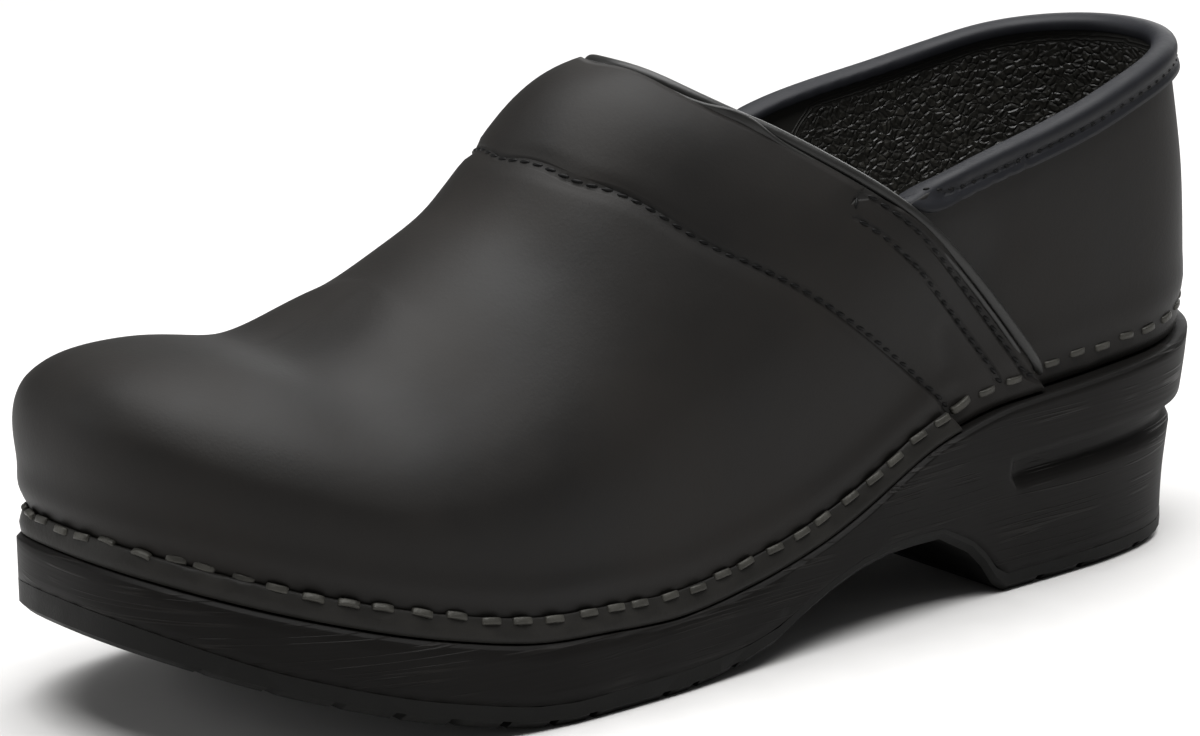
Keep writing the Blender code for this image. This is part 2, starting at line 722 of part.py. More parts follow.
def main():
    for obj in list(bpy.data.objects):
        bpy.data.objects.remove(obj)
    clog = new_collection("chef_clog_parts")
    cutters = new_collection("chef_clog_cutters")
    cutters.hide_render = True
    rubber = leather("tread_rubber", (0.012, 0.012, 0.012), 0.6)
    moulding = leather("sole_moulding", (0.018, 0.017, 0.016), 0.45)
    hide = leather("oiled_leather", (0.035, 0.034, 0.031), 0.42)
    trim = leather("smooth_binding", (0.03, 0.031, 0.036), 0.35)
    strip = leather("rand_strip", (0.022, 0.021, 0.02), 0.5)
    bead = leather("piping_bead", (0.02, 0.02, 0.02), 0.35)
    bed = leather("insole_lining", (0.02, 0.019, 0.018), 0.6)
    pieces = [
        make_outsole(clog, cutters, rubber),
        make_sole_frame(clog, moulding),
        make_insole(clog, bed),
        make_upper(clog, hide),
        make_piping(clog, bead),
        make_binding(clog, trim),
        make_rand(clog, strip),
    ]
    holder = centre_over_origin(pieces)
    for obj in pieces + list(cutters.objects):
        obj.parent = holder


main()
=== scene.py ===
"""Dressed chef clog: a closed-back clog in oiled leather, stapled to a heeled sole with moulded wood grain.

Metres. +X points to the toe, +Y to the outer side of this left shoe, and the floor is z = 0.
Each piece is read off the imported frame, so it stays where the frame's solids are.
"""

import math
from collections import namedtuple

import bmesh
import bpy
import numpy as np
from bpy.props import FloatProperty, FloatVectorProperty, PointerProperty
from mathutils import Matrix, Vector, kdtree
from mathutils.bvhtree import BVHTree


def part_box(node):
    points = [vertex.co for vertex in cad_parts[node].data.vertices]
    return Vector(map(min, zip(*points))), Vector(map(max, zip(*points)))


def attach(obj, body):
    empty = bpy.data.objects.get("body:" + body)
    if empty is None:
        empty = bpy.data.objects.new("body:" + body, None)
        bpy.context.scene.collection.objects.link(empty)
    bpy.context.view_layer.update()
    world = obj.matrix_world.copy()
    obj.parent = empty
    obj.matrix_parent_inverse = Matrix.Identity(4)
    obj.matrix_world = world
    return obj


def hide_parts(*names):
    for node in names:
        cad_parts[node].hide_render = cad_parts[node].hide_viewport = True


bl_info = {
    "name": "Chef Clog",
    "version": (1, 0, 0),
    "blender": (4, 5, 0),
    "location": "View3D > Sidebar > Clog",
    "description": "Dresses the frame of a stapled leather clog and sets it in a plain studio",
    "category": "Object",
}

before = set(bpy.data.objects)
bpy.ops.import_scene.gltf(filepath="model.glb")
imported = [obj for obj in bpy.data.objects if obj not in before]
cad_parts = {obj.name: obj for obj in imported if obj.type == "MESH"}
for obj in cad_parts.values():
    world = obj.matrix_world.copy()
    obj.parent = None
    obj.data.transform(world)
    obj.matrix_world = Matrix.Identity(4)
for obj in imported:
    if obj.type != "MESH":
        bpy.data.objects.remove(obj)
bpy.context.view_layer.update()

MM = 0.001
# Rays start FAR out, past every wall on their way, or just OUTSIDE the wall that they look for
FAR = 0.2
OUTSIDE = FAR / 4
# Points this close are one, and a point this little behind the first skin that a ray meets is on that skin
MERGE = 0.002 * MM
WALL = 1.2 * MM
# Height over the ledge of the middle that the vamp's rear edge is seen from
CORE_UP = 20 * MM

# Relief of the upper: how far each form reaches to either side, and its depth or height
SEAM_REACH = 1.7 * MM
ROW_REACH = 1.3 * MM
ROW_SHARE = 0.35
PULL_REACH, PULL_DEPTH = 1.6 * MM, 0.3 * MM
SWELL_REACH, SWELL_UP = 3.2 * MM, 2.2
SWELL_FRONT, SWELL_BACK = 0.9 * MM, 0.35 * MM
PATCH_SLOPE = 0.8

# Relief of the collar's binding, and how far its front ends run on under the bead
HEM_REACH, HEM_DEPTH = 0.8 * MM, 0.35 * MM
ROLL_REACH, ROLL_HEIGHT, ROLL_UP = 1.6 * MM, 0.4 * MM, 2.6 * MM
TUCK = 5 * MM

# The strip under the front staples: where it leans in to the leather, and its drop onto the ledge
LEAN_FROM, LEAN_OVER, LEAN_SHARE, LEAN_GAP = 1.4 * MM, 3.4 * MM, 0.8, 0.15 * MM
STRIP_DROP = 0.35 * MM

# The tread rises by a share of the gap under the sole, where the two are this close
TREAD_GAP, TREAD_SHARE = 0.6 * MM, 0.9

# Staples: thickness, rounding, bend of the ends, and how the lumpy ones at the corners differ
WIRE, WIRE_ROUND, WIRE_BEND = 1.0 * MM, 0.3 * MM, 0.45 * MM
STAPLE_LIFT, STAPLE_TURN, STAPLE_STRAY, STAPLE_RISE = 0.2 * MM, 3, 0.35, 0.2
CORNER_LIFT, CORNER_TURN, CORNER_SIZE = 0.45 * MM, 14, 1.18

# Centres of the last's round heel and toe, as shares of the sole's length
HEEL_POLE, TOE_POLE = 0.164, 0.739
# Exponent of the last's sides: at 1 its sections would be half ellipses, and less makes them fuller
SIDE_POWER = 2 / 2.15

# The seam ahead of the instep band: share of the way up the section, place along the sole
Seam = namedtuple("Seam", "up along")
SEAM = (
    Seam(0.00, 0.296),
    Seam(0.12, 0.360),
    Seam(0.30, 0.440),
    Seam(0.50, 0.537),
    Seam(0.75, 0.610),
    Seam(1.00, 0.632),
)

# Soft folds of the leather, each a line on both sides of the foot from one place to another, given as a share
# of the sole's length and of the way up; the depth is sunk into the leather
Fold = namedtuple("Fold", "along up to_along to_up width depth")
FOLDS = (
    Fold(0.655, 0.72, 0.668, 1.00, 10.0 * MM, 0.8 * MM),
    Fold(0.820, 0.62, 0.815, 1.00, 11.0 * MM, 0.5 * MM),
    Fold(0.302, 0.03, 0.318, 0.11, 2.4 * MM, 0.5 * MM),
    Fold(0.560, 0.20, 0.640, 0.52, 16.0 * MM, 0.5 * MM),
    Fold(0.250, 0.16, 0.300, 0.36, 7.0 * MM, 0.35 * MM),
)

# Front edge of the heel's inner patch: how far below the collar, place along the sole
Patch = namedtuple("Patch", "drop along")
PATCH = (
    Patch(0.0 * MM, 0.225),
    Patch(2.5 * MM, 0.249),
    Patch(8.5 * MM, 0.274),
    Patch(20.0 * MM, 0.302),
    Patch(60.0 * MM, 0.330),
)

# Height of the last's ridge over the floor; behind the instep it runs on above the collar's opening
Ridge = namedtuple("Ridge", "along height")
RIDGE = (
    Ridge(0.15, 198.0 * MM),
    Ridge(0.30, 165.2 * MM),
    Ridge(0.42, 128.8 * MM),
    Ridge(0.50, 116.6 * MM),
    Ridge(0.55, 112.4 * MM),
    Ridge(0.59, 108.0 * MM),
    Ridge(0.66, 91.6 * MM),
    Ridge(0.74, 77.8 * MM),
)


def linear(code):
    """An sRGB hex colour as linear red, green and blue."""
    shares = [int(code[i : i + 2], 16) / 255 for i in (1, 3, 5)]
    return tuple(s / 12.92 if s <= 0.04045 else ((s + 0.055) / 1.055) ** 2.4 for s in shares)


def length_value(name, description, default):
    return FloatProperty(name=name, description=description, default=default, unit="LENGTH", min=0.0)


def colour_value(name, description, code):
    return FloatVectorProperty(name=name, description=description, default=linear(code), subtype="COLOR")


class ClogSizes(bpy.types.PropertyGroup):
    stitch_pitch: length_value("Stitch pitch", "From one stitch to the next", 3.1 * MM)
    stitch_length: length_value("Stitch length", "Length of thread that shows", 2.4 * MM)
    stitch_width: length_value("Stitch width", "Thickness of the thread", 0.85 * MM)
    hem_stitch: length_value("Hem stitch", "Length of a stitch in the collar's binding", 1.4 * MM)
    hem_row: length_value("Hem row", "Stitches of the binding, above its lower edge", 2.2 * MM)
    edge_row: length_value("Edge row", "First row of stitches, from the beaded edge", 3.2 * MM)
    second_row: length_value("Second row", "Second row of stitches, from the beaded edge", 8.6 * MM)
    row_top: length_value("Row top", "Height of the bead where both rows are closed off", 89.5 * MM)
    bead_radius: length_value("Bead radius", "Radius of the bead's larger ridge", 1.3 * MM)
    bead_ridge: length_value("Bead ridge", "Radius of the small ridge beside it", 0.6 * MM)
    seam_depth: length_value("Seam depth", "How far the seam sinks into the leather", 0.8 * MM)
    staple_pitch: length_value("Staple pitch", "From one staple to the next", 7.1 * MM)
    staple_length: length_value("Staple length", "Length of a staple's crown", 4.3 * MM)
    staple_width: length_value("Staple width", "Height of a staple's crown on the leather", 1.4 * MM)
    staple_height: length_value("Staple height", "Middle of the staples above the ledge", 4.0 * MM)
    patch_drop: length_value("Patch drop", "Top of the heel patch below the collar", 4.0 * MM)
    pebble: length_value("Pebble", "Size of one pebble of the heel patch", 1.7 * MM)


class ClogColours(bpy.types.PropertyGroup):
    leather: colour_value("Leather", "Oiled leather of the upper", "#141312")
    leather_light: colour_value("Leather, rubbed", "Paler tone in the leather", "#1a1816")
    binding: colour_value("Binding", "Smooth leather of the collar's binding", "#131418")
    bead: colour_value("Bead", "Folded leather of the vamp's edge", "#151514")
    sole: colour_value("Sole", "Moulded sole", "#0d0c0b")
    tread: colour_value("Tread", "Rubber of the outsole", "#0e0e0d")
    strip: colour_value("Strip", "Strip under the front staples", "#161513")
    steel: colour_value("Staples", "Dull wire of the staples", "#34332f")
    thread: colour_value("Thread", "Waxed thread", "#0b0b0b")
    lining: colour_value("Lining", "Lining leather", "#201f1c")
    floor: colour_value("Floor", "Studio floor", "#c6c5c4")


def sizes():
    return bpy.context.scene.clog_sizes


def colours():
    return bpy.context.scene.clog_colours


# Reading the frame


def between(rows, name, at):
    """A table's column at any place, read on straight lines between its rows."""
    return float(np.interp(at, [row[0] for row in rows], [getattr(row, name) for row in rows]))


def merged(node):
    """A copy of a frame node's mesh, with its loose triangles joined into one skin of mostly quads."""
    bm = bmesh.new()
    bm.from_mesh(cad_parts[node].data)
    bmesh.ops.remove_doubles(bm, verts=bm.verts, dist=MERGE)
    bmesh.ops.join_triangles(
        bm, faces=bm.faces, angle_face_threshold=math.radians(40), angle_shape_threshold=math.radians(60)
    )
    return bm


def skin_of(node):
    bm = merged(node)
    tree = BVHTree.FromBMesh(bm)
    bm.free()
    return tree


def places_of(node):
    bm = merged(node)
    places = np.array([tuple(v.co) for v in bm.verts])
    bm.free()
    return places


class Last:
    """The form that the leather is laid on, as the frame's own solids give it."""

    STATIONS = 60
    RAYS_ROUND = 720

    def __init__(self):
        self.low, self.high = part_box("sole_frame")
        self.length = self.high.x - self.low.x
        self.upper = skin_of("upper")
        self.sole = skin_of("sole_frame")
        feet = self.lowest(places_of("upper"))
        self.ledge_x, self.ledge_z = feet[:, 0], feet[:, 2]
        self.middle_x = np.linspace(self.at(HEEL_POLE), self.at(TOE_POLE), self.STATIONS)
        sides = [self.sole_sides(x) for x in self.middle_x]
        self.middle_y = np.array([(a + b) / 2 for a, b in sides])
        self.half_y = np.array([(a - b) / 2 for a, b in sides])

    @staticmethod
    def lowest(places):
        """The points that stand on the ledge: no other lies below them at less than 45 degrees aside."""
        x, z = places[:, 0], places[:, 2]
        under = (z[None, :] + np.abs(x[:, None] - x[None, :])).min(axis=1)
        feet = places[z <= under + MERGE]
        return feet[np.argsort(feet[:, 0])]

    def at(self, along):
        return self.low.x + along * self.length

    def ledge(self, x):
        return float(np.interp(x, self.ledge_x, self.ledge_z))

    def middle(self, x):
        return float(np.interp(x, self.middle_x, self.middle_y))

    def half(self, x):
        return float(np.interp(x, self.middle_x, self.half_y))

    def ridge(self, x):
        return between(RIDGE, "height", (x - self.low.x) / self.length)

    def sole_sides(self, x):
        height = self.ledge(x) - 2 * MM
        starts = [(side, Vector((x, side * FAR, height))) for side in (1, -1)]
        return [self.sole.ray_cast(start, Vector((0, -side, 0)))[0].y for side, start in starts]

    def on_upper(self, along, side, up):
        """Point and normal on the leather: up is 0 at the ledge and pi / 2 on the ridge, side is +1 or -1."""
        x = self.at(along)
        foot = self.ledge(x)
        across = side * self.half(x) * math.cos(up) ** SIDE_POWER
        guess = Vector((x, self.middle(x) + across, foot + (self.ridge(x) - foot) * math.sin(up)))
        out = Vector((0, side * math.cos(up), math.sin(up)))
        place, normal, _, _ = self.upper.ray_cast(guess + out * OUTSIDE, -out)
        return place, normal

    def ray(self, turn):
        """Middle, heading and a first guess of the foot's edge at a share of the way round: 0 at the heel,
        0.25 on the outer side and 0.5 at the toe."""
        heel, toe = self.at(HEEL_POLE), self.at(TOE_POLE)
        back, front = heel - self.low.x, self.high.x - toe
        lengths = (back * math.pi / 2, toe - heel, front * math.pi / 2)
        walk = (turn % 1.0) * 2 * sum(lengths)
        side = 1.0
        if walk > sum(lengths):
            walk = 2 * sum(lengths) - walk
            side = -1.0
        x, reach, angle = heel, back, math.pi - walk / back
        if walk > lengths[0]:
            x, angle = min(heel + walk - lengths[0], toe), math.pi / 2
        if walk > lengths[0] + lengths[1]:
            reach, angle = front, math.pi / 2 - (walk - lengths[0] - lengths[1]) / front
        middle = Vector((x, self.middle(x), 0))
        heading = Vector((math.cos(angle), side * math.sin(angle), 0))
        return middle, heading, middle + Vector((heading.x * reach, heading.y * self.half(x), 0))

    def round_foot(self, trees, height):
        """Points where rays from outside first meet any of the skins, at a height above the ledge."""
        found = []
        for turn in np.linspace(0, 1, self.RAYS_ROUND, endpoint=False):
            middle, heading, spot = self.ray(float(turn))
            best = None
            for _ in range(3):
                start = Vector((middle.x, middle.y, self.ledge(spot.x) + height)) + heading * FAR
                hits = [tree.ray_cast(start, -heading) for tree in trees]
                hits = [hit for hit in hits if hit[0] is not None]
                if hits:
                    best = min(hits, key=lambda hit: hit[3])
                    spot = best[0]
            if best:
                found.append((best[0], best[1]))
        return found

    def band(self, tree, start, stop, count, low, high):
        """Lowest and highest points of a band round the foot that show from outside, and the normals."""
        found = []
        for turn in np.linspace(start, stop, count):
            middle, heading, _ = self.ray(float(turn))
            column = []
            for level in np.arange(low, high, 0.4 * MM):
                origin = Vector((middle.x, middle.y, level)) + heading * FAR
                place, normal, _, _ = tree.ray_cast(origin, -heading)
                if place is not None and (place - middle).dot(heading) > 0:
                    column.append((place, normal))
            if column:
                found.append((column[0], column[-1]))
        return found


last = Last()


def smoothed(points, times=2):
    """The points with each one moved to the middle of its neighbours' line, the ends kept."""
    points = np.array(points, float)
    for _ in range(times):
        points[1:-1] = 0.25 * points[:-2] + 0.5 * points[1:-1] + 0.25 * points[2:]
    return points


def stepped(points, pitch):
    """Points at even steps along a line, as near to the pitch as a whole number of steps allows."""
    points = np.array(points, float)
    walked = np.concatenate([[0], np.cumsum(np.linalg.norm(np.diff(points, axis=0), axis=1))])
    count = max(2, round(walked[-1] / pitch) + 1)
    even = np.linspace(0, walked[-1], count)
    return np.column_stack([np.interp(even, walked, points[:, i]) for i in range(3)])


def laid(tree, points, lift=0.0):
    """The points moved onto a skin, and the skin's normals there."""
    found = []
    for point in points:
        place, normal, _, _ = tree.find_nearest(Vector(point))
        found.append((place + normal * lift, normal))
    return found


def turned(place, run, normal):
    """Matrix that puts x along a run and z along the normal."""
    run = (run - normal * run.dot(normal)).normalized()
    matrix = Matrix((run, normal.cross(run), normal)).transposed().to_4x4()
    matrix.translation = place
    return matrix


def frames_along(laid_points):
    """A matrix at each point of a line on a skin, with x along the line and z out of the skin."""
    places = [place for place, _ in laid_points]
    found = []
    for i, (place, normal) in enumerate(laid_points):
        run = places[min(i + 1, len(places) - 1)] - places[max(i - 1, 0)]
        found.append(turned(place, run, normal))
    return found


def seam_points():
    """The seam from the outer ledge over the instep to the inner ledge."""
    ups = np.linspace(0.015, 1, 60)
    points = []
    for side, run in ((1, ups), (-1, ups[-2::-1])):
        for share in run:
            place, _ = last.on_upper(between(SEAM, "along", share), side, share * math.pi / 2)
            points.append(tuple(place))
    return smoothed(points, 12)


def bead_points():
    """Middle line of the frame's piping from the outer ledge to the inner one, ring by ring."""
    places = places_of("vamp_piping")
    angle = np.arctan2(places[:, 2] - last.ledge(0.0), places[:, 1] - last.middle(0.0))
    rings = np.array_split(places[np.argsort(angle)], len(places) // 6)
    return smoothed([ring.mean(axis=0) for ring in rings], 8)


def outward(place):
    """Direction from the middle of the foot to a place on the skin beside it."""
    return (place - Vector((place.x, last.middle(place.x), last.ledge(place.x) + CORE_UP))).normalized()


def bead_frames(pitch):
    """Matrices along the bead: x along it, y ahead over the vamp, z out of the vamp's leather."""
    points = stepped(bead_points(), pitch)
    places = [Vector(point) for point in points]
    runs, normals = [], []
    for i, place in enumerate(places):
        run = (places[min(i + 1, len(places) - 1)] - places[max(i - 1, 0)]).normalized()
        out = outward(place)
        ahead = out.cross(run).normalized()
        _, normal, _, _ = last.upper.find_nearest(place + ahead * 5 * MM + out * 6 * MM)
        runs.append(run)
        normals.append(tuple(normal))
    normals = smoothed(normals, round(6 * MM / pitch) * 6)
    return [turned(*item) for item in zip(places, runs, (Vector(n).normalized() for n in normals))]


def ahead_of_bead(tree, distance, side):
    """A row on the leather at a distance ahead of the bead, on one side, from its closed top to the ledge."""
    frames = [m for m in bead_frames(MM) if side * (m.translation.y - last.middle(m.translation.x)) > 0]
    frames = [m for m in frames if m.translation.z < sizes().row_top]
    found = []
    for matrix in frames:
        place = matrix.translation + matrix.col[1].to_3d() * distance
        out = outward(place)
        hit, _, _, _ = tree.ray_cast(place + out * OUTSIDE, -out)
        found.append(tuple(hit))
    return smoothed(found, 6)


# Making meshes


def fresh(name, bm, materials, levels=0, sharp=40):
    """A new object at the origin, shaded smooth, with Subdivision Surface if levels are asked for."""
    mesh = bpy.data.meshes.new(name)
    bm.to_mesh(mesh)
    bm.free()
    for material in materials:
        mesh.materials.append(material)
    mesh.shade_smooth()
    if not levels:
        mesh.set_sharp_from_angle(angle=math.radians(sharp))
    obj = bpy.data.objects.new(name, mesh)
    bpy.context.scene.collection.objects.link(obj)
    if levels:
        smooth = obj.modifiers.new("smooth", "SUBSURF")
        smooth.levels = levels
        smooth.render_levels = levels
    return obj


def settle(obj, slot, *nodes):
    """Fixes a finished piece to the clog's one body, and hides the frame nodes that it takes the place of."""
    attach(obj, "root")
    if nodes:
        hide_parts(*nodes)


def crease_sharp(bm, degrees, amount):
    """Creases the edges that bend by more than this angle, so that subdividing keeps them crisp."""
    layer = bm.edges.layers.float.get("crease_edge") or bm.edges.layers.float.new("crease_edge")
    for edge in bm.edges:
        if edge.calc_face_angle(0.0) > math.radians(degrees):
            edge[layer] = amount


def subdivided(bm, levels):
    """The mesh after Subdivision Surface, as a new mesh to work on."""
    obj = fresh("cage", bm, [], levels)
    bpy.context.view_layer.update()
    mesh = bpy.data.meshes.new_from_object(obj.evaluated_get(bpy.context.evaluated_depsgraph_get()))
    bpy.data.objects.remove(obj)
    out = bmesh.new()
    out.from_mesh(mesh)
    bpy.data.meshes.remove(mesh)
    out.normal_update()
    return out


def finished_skin(name):
    """Search tree of a finished piece, as it is after its modifiers."""
    bpy.context.view_layer.update()
    return BVHTree.FromObject(bpy.data.objects[name], bpy.context.evaluated_depsgraph_get())


def sweep(matrices, outline):
    """A closed skin drawn from one outline, given as (across, out) points, along a row of matrices."""
    bm = bmesh.new()
    ring = [bm.verts.new(matrices[0] @ Vector((0, across, out))) for across, out in outline]
    edges = [bm.edges.new(pair) for pair in zip(ring, ring[1:] + ring[:1])]
    for before, after in zip(matrices, matrices[1:]):
        made = bmesh.ops.extrude_edge_only(bm, edges=edges)["geom"]
        verts = [item for item in made if isinstance(item, bmesh.types.BMVert)]
        edges = [item for item in made if isinstance(item, bmesh.types.BMEdge)]
        bmesh.ops.transform(bm, matrix=after @ before.inverted(), verts=verts)
    bmesh.ops.holes_fill(bm, edges=[e for e in bm.edges if e.is_boundary], sides=0)
    bmesh.ops.recalc_face_normals(bm, faces=bm.faces)
    return bm


def apart(places, line):
    """Distance of each place from a line on the leather."""
    points = stepped(line, 0.25 * MM)
    tree = kdtree.KDTree(len(points))
    for i, point in enumerate(points):
        tree.insert(point, i)
    tree.balance()
    return np.array([tree.find(place)[2] for place in places])


def store(bm, name, values):
    """Writes one number to each vertex, which the piece's material reads by this name."""
    layer = bm.verts.layers.float.new(name)
    for vertex, value in zip(bm.verts, values):
        vertex[layer] = float(value)


def sits_outside(bm, tree):
    """1 for each vertex on the skin's outer face, met first from outside, and 0 for the lining's side."""
    found = []
    for vertex in bm.verts:
        x = min(max(vertex.co.x, last.at(HEEL_POLE)), last.at(TOE_POLE))
        out = (vertex.co - Vector((x, last.middle(x), last.ledge(x)))).normalized()
        hit, _, _, _ = tree.ray_cast(vertex.co + out * OUTSIDE, -out)
        first = hit is None or (hit - vertex.co).length < WALL
        found.append(1.0 if first and vertex.normal.dot(out) > 0 else 0.0)
    return np.array(found)


def sink(bm, depths):
    """Moves each vertex into the skin by its own depth."""
    for vertex, depth in zip(bm.verts, depths):
        vertex.co -= vertex.normal * float(depth)


# Materials


def add_node(tree, kind, inputs=None, **settings):
    """Adds a node with its settings; an input that is another node's output is linked."""
    node = tree.nodes.new(kind)
    for name, value in settings.items():
        setattr(node, name, value)
    for name, value in (inputs or {}).items():
        if isinstance(value, bpy.types.NodeSocket):
            tree.links.new(value, node.inputs[name])
        else:
            node.inputs[name].default_value = value
    return node


def new_material(name):
    """A new material, its tree, and the place on the piece, which its patterns read."""
    material = bpy.data.materials.new(name)
    material.use_nodes = True
    tree = material.node_tree
    return material, tree, add_node(tree, "ShaderNodeTexCoord").outputs["Object"]


def per(size):
    """Pattern scale for features of this size."""
    return 1.0 / size


def times(colour, factor):
    return tuple(c * factor for c in colour)


def tone(tree, place, size, dark, light):
    """Colour that drifts between two tones in patches of about this size, and the patches themselves."""
    noise = add_node(tree, "ShaderNodeTexNoise", {"Vector": place, "Scale": per(size), "Detail": 3.0})
    spread = {"Value": noise.outputs["Fac"], "From Min": 0.35, "From Max": 0.65}
    patch = add_node(tree, "ShaderNodeMapRange", spread).outputs["Result"]
    ends = {0: patch, 6: (*dark, 1), 7: (*light, 1)}
    return add_node(tree, "ShaderNodeMix", ends, data_type="RGBA").outputs[2], patch


def groove(tree, distance, middle, width):
    """1 along the line where a distance has its middle value, fading smoothly to 0 at this width."""
    off = add_node(tree, "ShaderNodeMath", {0: distance, 1: middle}, operation="SUBTRACT").outputs["Value"]
    off = add_node(tree, "ShaderNodeMath", {0: off}, operation="ABSOLUTE").outputs["Value"]
    fade = {"Value": off, "From Max": width, "To Min": 1.0, "To Max": 0.0}
    return add_node(tree, "ShaderNodeMapRange", fade, interpolation_type="SMOOTHSTEP").outputs["Result"]


def tinted(tree, colour, mask, share, tint):
    """A colour that turns to a second one, by a share, where a mask is 1."""
    amount = add_node(tree, "ShaderNodeMath", {0: mask, 1: share}, operation="MULTIPLY").outputs["Value"]
    ends = {0: amount, 6: colour, 7: (*tint, 1)}
    return add_node(tree, "ShaderNodeMix", ends, data_type="RGBA").outputs[2]


def relief(tree, *layers):
    """Normal of a surface with layers of relief, each a height, its depth and its strength; a depth below 0
    cuts in where the height is 1."""
    normal = None
    for height, depth, strength in layers:
        inputs = {"Height": height, "Distance": abs(depth), "Strength": strength}
        if normal is not None:
            inputs["Normal"] = normal
        normal = add_node(tree, "ShaderNodeBump", inputs, invert=depth < 0).outputs["Normal"]
    return normal


def finish(tree, colour, mask, rough, normal, specular):
    """Sets the shader's colour, relief and gloss, and its roughness, given where a mask is 0 and 1."""
    shader = tree.nodes["Principled BSDF"]
    ends = {"Value": mask, "To Min": rough[0], "To Max": rough[1]}
    roughness = add_node(tree, "ShaderNodeMapRange", ends).outputs["Result"]
    tree.links.new(colour, shader.inputs["Base Color"])
    tree.links.new(roughness, shader.inputs["Roughness"])
    tree.links.new(normal, shader.inputs["Normal"])
    shader.inputs["Specular IOR Level"].default_value = specular
    return shader


def oiled_leather():
    """Full-grain cow leather, drum dyed and oiled: matte, with worn paler patches, and grooves where the
    stitches pull it down, whose colour is darkened with painted shade and dirt. Its pores are drawn some
    three times too coarse, so that they show at all."""
    material, tree, place = new_material("oiled_full_grain_leather")
    colour, patch = tone(tree, place, 34 * MM, colours().leather, colours().leather_light)
    seam = add_node(tree, "ShaderNodeAttribute", attribute_name="seam").outputs["Fac"]
    rows = add_node(tree, "ShaderNodeAttribute", attribute_name="rows").outputs["Fac"]
    cuts = {0: groove(tree, seam, 0.0, 1.3 * MM), 1: groove(tree, rows, 0.0, 1.1 * MM)}
    lines = add_node(tree, "ShaderNodeMath", cuts, operation="MAXIMUM").outputs["Value"]
    # Painted shade and dirt: the leather's colour darkens along the seam and the rows of stitches, in their
    # grooves
    colour = tinted(tree, colour, lines, 0.95, times(colours().leather, 0.25))
    soft = add_node(tree, "ShaderNodeTexNoise", {"Vector": place, "Scale": per(7 * MM), "Detail": 2.0})
    nap = add_node(tree, "ShaderNodeTexNoise", {"Vector": place, "Scale": per(0.4 * MM), "Detail": 4.0})
    pores = add_node(tree, "ShaderNodeTexVoronoi", {"Vector": place, "Scale": per(0.8 * MM)})
    normal = relief(
        tree,
        (soft.outputs["Fac"], 0.12 * MM, 0.6),
        (nap.outputs["Fac"], 0.035 * MM, 0.5),
        (pores.outputs["Distance"], 0.03 * MM, 0.4),
        (lines, -0.45 * MM, 1.0),
    )
    finish(tree, colour, patch, (0.52, 0.6), normal, 0.18)
    return material


def plain(name, colour, roughness, grain, depth, metallic=0.0, specular=0.5, spread=1.5):
    """A material of one tone and a slightly lighter one in small patches, with a fine even grain."""
    material, tree, place = new_material(name)
    tones, patch = tone(tree, place, 8 * MM, colour, times(colour, spread))
    speck = add_node(tree, "ShaderNodeTexNoise", {"Vector": place, "Scale": per(grain), "Detail": 3.0})
    normal = relief(tree, (speck.outputs["Fac"], depth, 1.0))
    shader = finish(tree, tones, patch, (roughness - 0.05, roughness + 0.05), normal, specular)
    shader.inputs["Metallic"].default_value = metallic
    return material


def binding_leather():
    """Smooth finished calf leather, rolled while damp: a low cool gloss, and a groove under its stitches,
    darkened with painted shade.
    """
    material, tree, place = new_material("finished_binding_leather")
    colour, patch = tone(tree, place, 9 * MM, colours().binding, times(colours().binding, 1.2))
    hem = add_node(tree, "ShaderNodeAttribute", attribute_name="hem").outputs["Fac"]
    line = groove(tree, hem, 0.0, HEM_REACH)
    # Painted shade: the binding's colour darkens along the groove under its stitches
    colour = tinted(tree, colour, line, 0.7, times(colours().binding, 0.3))
    wrinkle = add_node(tree, "ShaderNodeTexNoise", {"Vector": place, "Scale": per(2.5 * MM), "Detail": 3.0})
    normal = relief(tree, (wrinkle.outputs["Fac"], 0.08 * MM, 1.0), (line, -0.3 * MM, 1.0))
    finish(tree, colour, patch, (0.52, 0.6), normal, 0.22)
    return material


def bead_leather():
    """Thin leather folded round a cord and pressed: tighter and glossier than the panels."""
    return plain("folded_edge_leather", colours().bead, 0.42, 0.9 * MM, 0.04 * MM, specular=0.38)


def strip_leather():
    """Bonded leather strip, cut and left matte."""
    return plain("bonded_leather_strip", colours().strip, 0.55, 0.9 * MM, 0.08 * MM, specular=0.2)


def waxed_thread():
    """Bonded polyester thread, waxed: black with a dull shine."""
    return plain("waxed_polyester_thread", colours().thread, 0.45, 0.5 * MM, 0.05 * MM, specular=0.1)


def staple_wire():
    """Galvanised steel wire, pressed flat and weathered: grey with a dull broken shine."""
    return plain(
        "galvanised_staple_wire", colours().steel, 0.5, 0.7 * MM, 0.12 * MM, metallic=0.4, specular=0.4
    )


def sock_leather():
    """Smooth sock lining of dyed leather, worn matte."""
    return plain("dyed_sock_leather", colours().lining, 0.6, 0.8 * MM, 0.06 * MM)


def tread_rubber():
    """Moulded rubber with the mould's fine matte skin."""
    return plain("moulded_tread_rubber", colours().tread, 0.55, 0.6 * MM, 0.05 * MM, specular=0.12)


